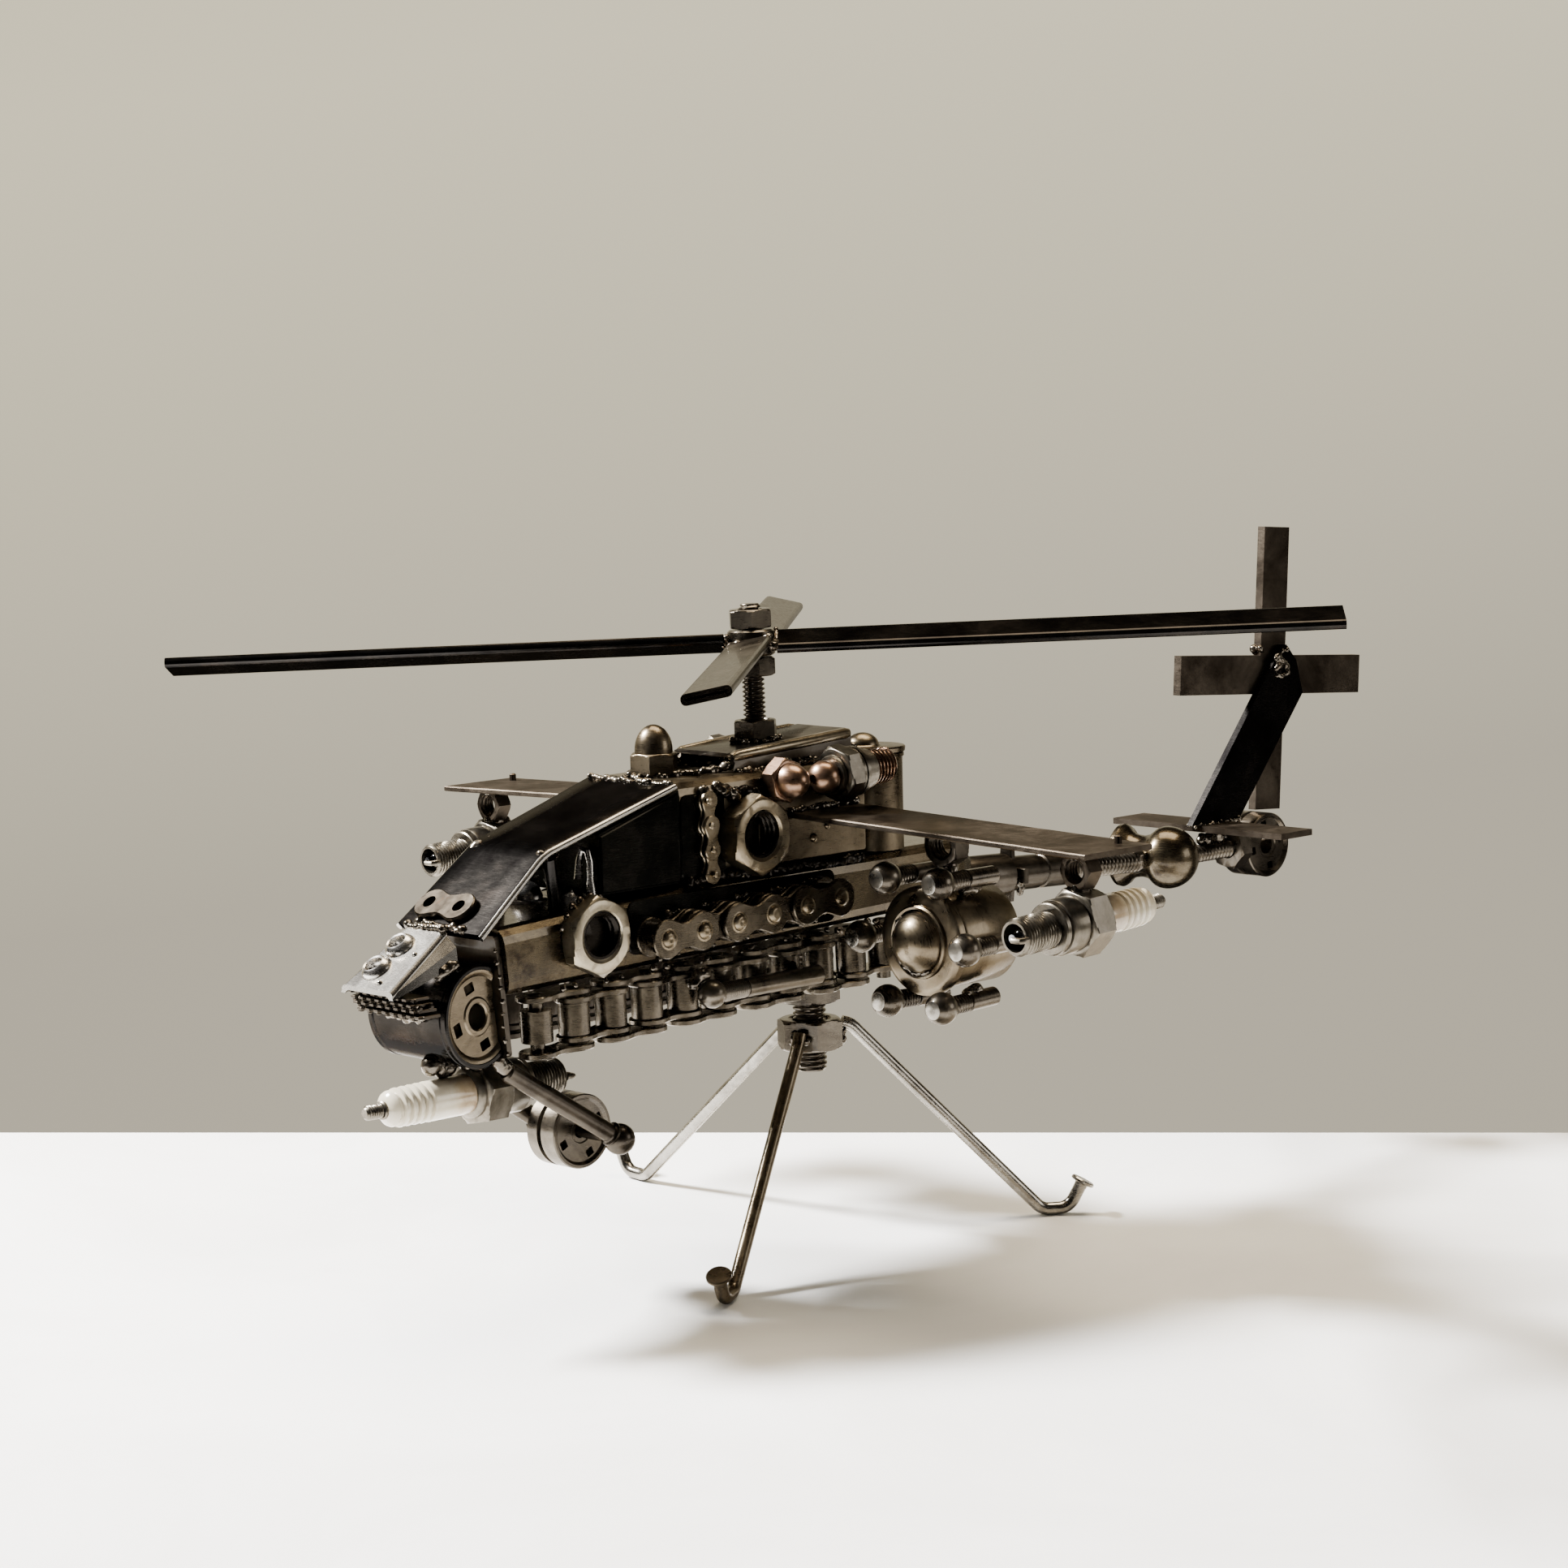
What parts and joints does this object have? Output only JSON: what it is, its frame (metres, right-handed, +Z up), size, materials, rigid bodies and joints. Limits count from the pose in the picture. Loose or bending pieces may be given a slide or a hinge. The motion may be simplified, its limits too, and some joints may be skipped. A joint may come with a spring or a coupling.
{
  "type": "toy helicopter",
  "caption": "Toy attack helicopter welded from scrap steel: chains, nuts, nails and spark plugs, with free rotors, on a swivelling nail tripod.",
  "frame": {"origin": "middle of the bounding box on the plan, on the table the feet rest on", "axes": "+X towards the nose, +Y to port, +Z up"},
  "size_m": [0.4132, 0.2558, 0.1867],
  "materials": {
    "dark_steel": "clear-lacquered dark steel, gloss",
    "bronzed_steel": "clear-lacquered steel with a bronze cast, gloss",
    "black_steel": "heat-blackened sheet steel under clear lacquer, gloss",
    "nail_wire": "bright drawn wire, lacquered",
    "plug_shell": "plated steel, dulled, with welding soot",
    "copper_tint": "heat-tinted copper-brown steel, gloss",
    "ceramic": "off-white glaze, slightly stained"
  },
  "bodies": {
    "stand": {"tripod_nut": "dark_steel", "leg_starboard": "nail_wire", "leg_front": "nail_wire", "leg_rear": "nail_wire"},
    "airframe": {"fuselage_tube": "bronzed_steel", "nose_bulkhead": "black_steel", "cabin_body": "bronzed_steel", "cockpit_box": "black_steel", "canopy_strip": "black_steel", "canopy_link": "dark_steel", "nose_hood": "bronzed_steel", "nose_chain": "dark_steel", "nose_roller": "bronzed_steel", "roof_channel": "dark_steel", "roof_nut": "dark_steel", "roof_acorn": "bronzed_steel", "mast": "dark_steel", "large_nut_port": "bronzed_steel", "large_nut_starboard": "bronzed_steel", "small_nut_port": "bronzed_steel", "small_nut_starboard": "bronzed_steel", "side_chain_port": "dark_steel", "side_chain_starboard": "dark_steel", "belly_chain_port": "dark_steel", "belly_chain_starboard": "dark_steel", "door_chain_port": "dark_steel", "door_chain_starboard": "dark_steel", "belly_bolt_port": "bronzed_steel", "belly_bolt_starboard": "bronzed_steel", "exhaust_acorn_port": "copper_tint", "exhaust_acorn_starboard": "copper_tint", "exhaust_fitting_port": "copper_tint", "exhaust_fitting_starboard": "copper_tint", "rear_can_port": "bronzed_steel", "rear_can_starboard": "bronzed_steel", "wing_port": "dark_steel", "wing_starboard": "dark_steel", "rocket_pod_port": "bronzed_steel", "rocket_pod_starboard": "bronzed_steel", "plug_shell_port": "plug_shell", "plug_shell_starboard": "plug_shell", "plug_shell_gun": "plug_shell", "plug_core_port": "ceramic", "plug_core_starboard": "ceramic", "plug_core_gun": "ceramic", "tail_sleeve": "dark_steel", "tail_knob": "bronzed_steel", "tail_rod": "dark_steel", "tail_roller": "bronzed_steel", "tail_plane": "dark_steel", "tail_fin": "black_steel", "gear_fork": "dark_steel", "stand_bolt": "dark_steel"},
    "main_rotor": {"rotor_hub": "dark_steel", "rotor_blade_1": "dark_steel", "rotor_blade_2": "dark_steel", "rotor_blade_3": "dark_steel", "rotor_blade_4": "dark_steel"},
    "tail_rotor": {"tail_rotor": "dark_steel"},
    "front_wheel": {"front_wheel": "bronzed_steel"}
  },
  "joints": [
    {"name": "stand_swivel", "type": "hinge", "parent": "stand", "child": "airframe", "pos_m": [0.04982, 0.00293, 0.05695], "axis": [-0.0092, -0.0464, 0.9989], "range_deg": [-180, 180]},
    {"name": "main_rotor_spin", "type": "hinge", "parent": "airframe", "child": "main_rotor", "pos_m": [0.06739, -0.00225, 0.1687], "axis": [0.0026, -0.0647, 0.9979], "continuous": true},
    {"name": "tail_rotor_spin", "type": "hinge", "parent": "airframe", "child": "tail_rotor", "pos_m": [-0.16137, -0.00308, 0.14142], "axis": [0.0004, -0.9989, -0.0464], "continuous": true},
    {"name": "front_wheel_spin", "type": "hinge", "parent": "airframe", "child": "front_wheel", "pos_m": [0.13535, -0.00141, 0.04353], "axis": [-0.0004, 0.9989, 0.0464], "continuous": true}
  ]
}
